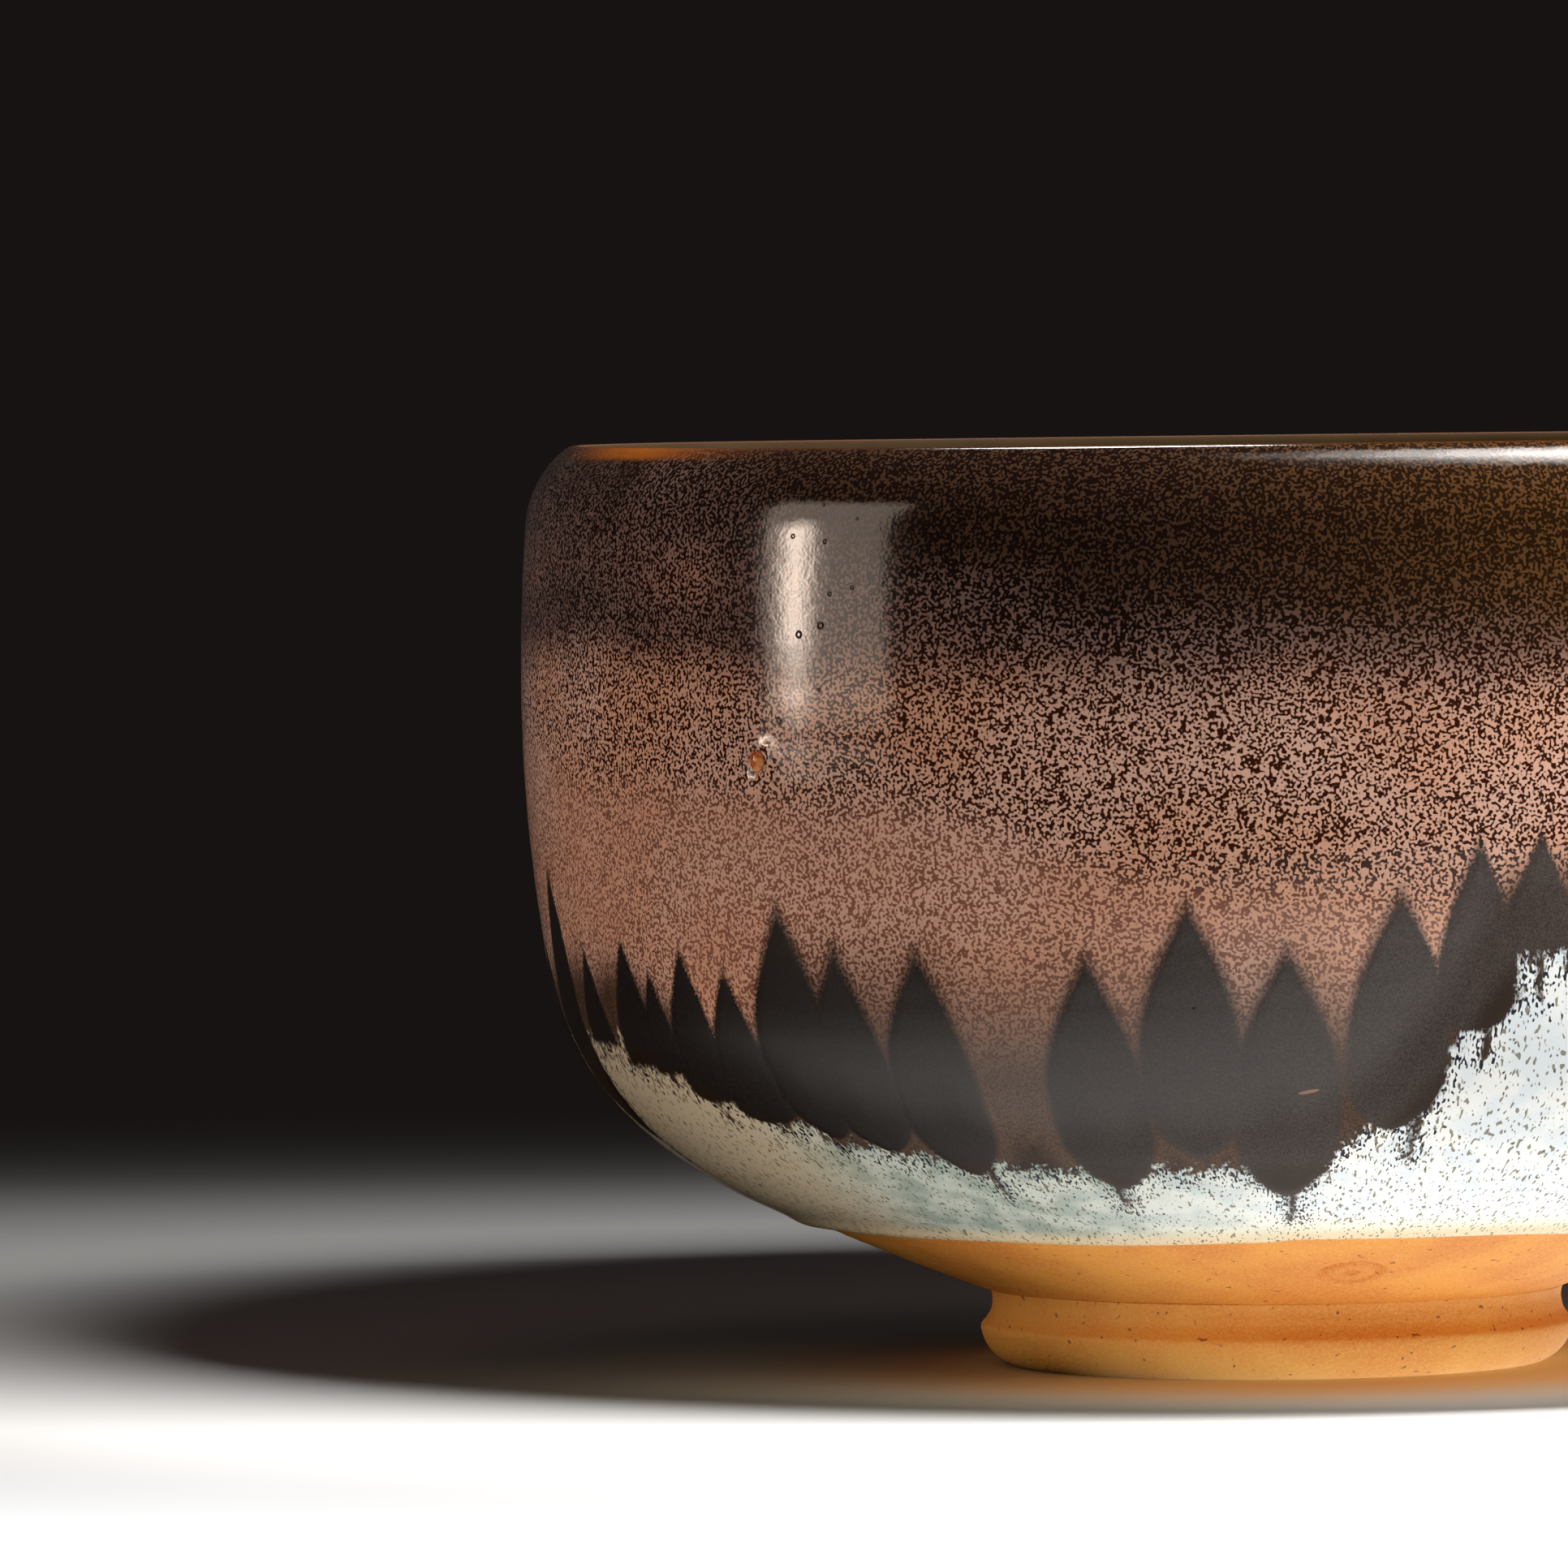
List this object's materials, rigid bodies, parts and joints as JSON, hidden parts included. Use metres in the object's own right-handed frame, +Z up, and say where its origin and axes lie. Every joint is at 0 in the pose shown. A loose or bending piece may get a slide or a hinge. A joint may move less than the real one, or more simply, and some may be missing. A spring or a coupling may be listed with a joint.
{
  "type": "matcha bowl",
  "caption": "Round-bellied stoneware tea bowl with a rolled-in lip, flared foot ring and layered glazes with a ring of leaf shapes.",
  "frame": {"origin": "centre of the circle that the foot stands on", "axes": "+Z up along the bowl's axis; -Y is the side facing the drinker, with the potter's seal a little towards +X of it"},
  "size_m": [0.12, 0.12, 0.0738],
  "materials": {
    "bare_clay": "unglazed sandy stoneware, ochre with rust flashing, matt",
    "liner_glaze": "glossy dark amber-brown liner with fine pale specks",
    "amber_glaze": "glossy translucent amber where the coat runs thin over the lip",
    "rose_brown_glaze": "glossy dark brown broken by a fine rose-tan mottle",
    "ash_glaze": "milky ash white with blue-grey and olive specks, glossy",
    "charcoal_glaze": "satin charcoal",
    "feldspar": "clear amber glassy bead"
  },
  "bodies": {
    "root": {"clay_body": "bare_clay", "foot_ring": "bare_clay", "inner_glaze": "liner_glaze", "lip_glaze": "amber_glaze", "upper_glaze": "rose_brown_glaze", "lower_glaze": "ash_glaze", "leaf_glaze": "charcoal_glaze", "stone_bead": "feldspar"}
  },
  "joints": []
}
